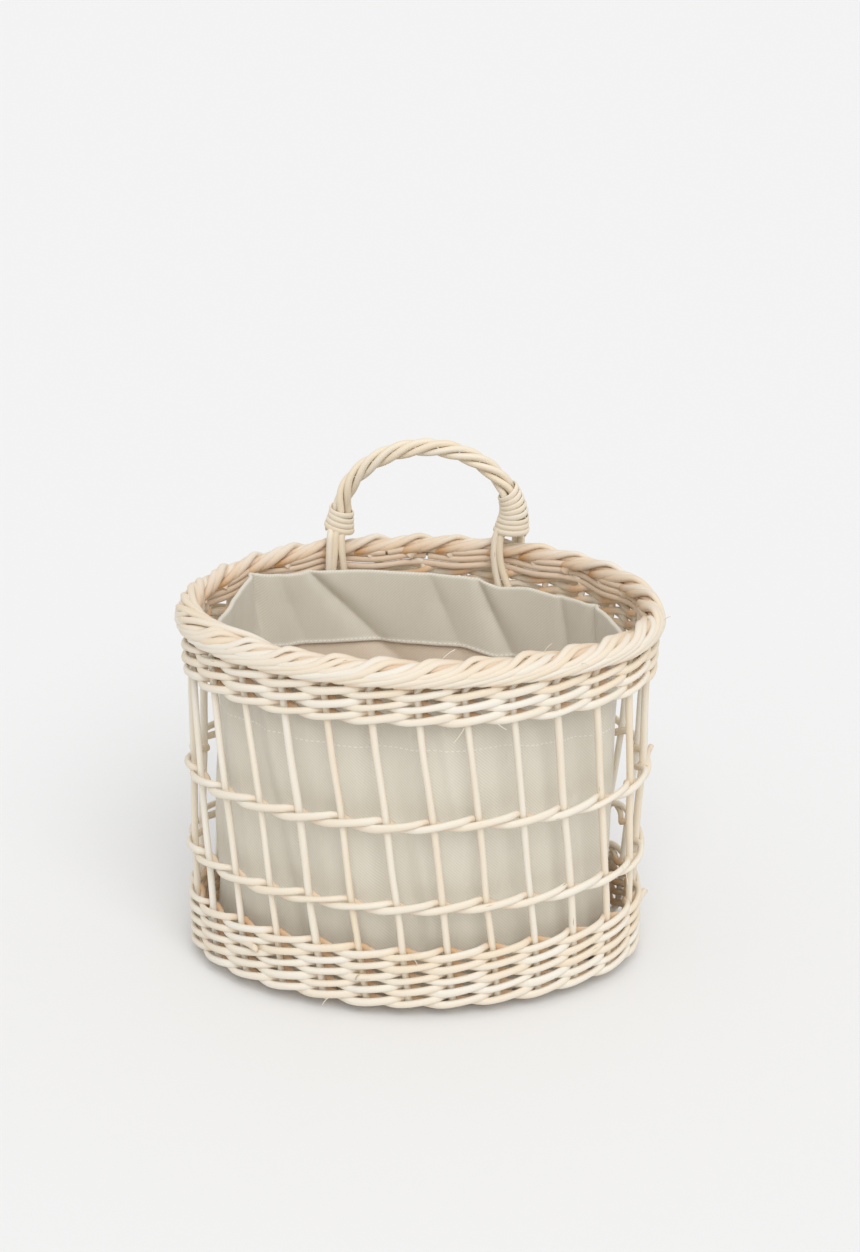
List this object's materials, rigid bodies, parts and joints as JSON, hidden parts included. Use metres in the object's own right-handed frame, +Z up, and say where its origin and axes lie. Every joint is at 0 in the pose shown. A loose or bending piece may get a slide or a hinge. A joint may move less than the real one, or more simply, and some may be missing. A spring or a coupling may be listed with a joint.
{
  "type": "hanging planter basket",
  "caption": "Wall-hung wicker planter basket: oval open-work body with a rolled border, a twisted handle with bound feet on its back rim, and a lift-out cloth liner.",
  "frame": {"origin": "middle of the whole basket's footprint, at the underside of the base", "axes": "+Z up, +Y towards the wall that the basket hangs on, +X to the right of a person who faces that wall"},
  "size_m": [0.2609, 0.1937, 0.2706],
  "materials": {
    "peeled_willow": "peeled, dry and uncoated, with a faint sheen",
    "handle_willow": "peeled, dry and uncoated, with a faint sheen",
    "liner_cloth": "matt fine twill"
  },
  "bodies": {
    "basket": {"stake_01": "peeled_willow", "stake_02": "peeled_willow", "stake_03": "peeled_willow", "stake_04": "peeled_willow", "stake_05": "peeled_willow", "stake_06": "peeled_willow", "stake_07": "peeled_willow", "stake_08": "peeled_willow", "stake_09": "peeled_willow", "stake_10": "peeled_willow", "stake_11": "peeled_willow", "stake_12": "peeled_willow", "stake_13": "peeled_willow", "stake_14": "peeled_willow", "stake_15": "peeled_willow", "stake_16": "peeled_willow", "stake_17": "peeled_willow", "stake_18": "peeled_willow", "stake_19": "peeled_willow", "stake_20": "peeled_willow", "stake_21": "peeled_willow", "stake_22": "peeled_willow", "stake_23": "peeled_willow", "stake_24": "peeled_willow", "stake_25": "peeled_willow", "stake_26": "peeled_willow", "stake_27": "peeled_willow", "stake_28": "peeled_willow", "lower_band_outer_weaver": "peeled_willow", "lower_band_inner_weaver": "peeled_willow", "lower_open_row_outer_weaver": "peeled_willow", "lower_open_row_inner_weaver": "peeled_willow", "upper_open_row_outer_weaver": "peeled_willow", "upper_open_row_inner_weaver": "peeled_willow", "upper_band_outer_weaver": "peeled_willow", "upper_band_inner_weaver": "peeled_willow", "base_panel": "peeled_willow", "handle_rod_1": "handle_willow", "handle_rod_2": "handle_willow", "handle_rod_3": "handle_willow", "handle_rod_4": "handle_willow", "handle_binding_left": "handle_willow", "handle_binding_right": "handle_willow"},
    "liner": {"liner_bag": "liner_cloth", "liner_facing": "liner_cloth"}
  },
  "joints": [
    {"name": "liner_lift", "type": "slide", "parent": "basket", "child": "liner", "axis": [0, 0, 1], "range_m": [0, 0.215]}
  ]
}
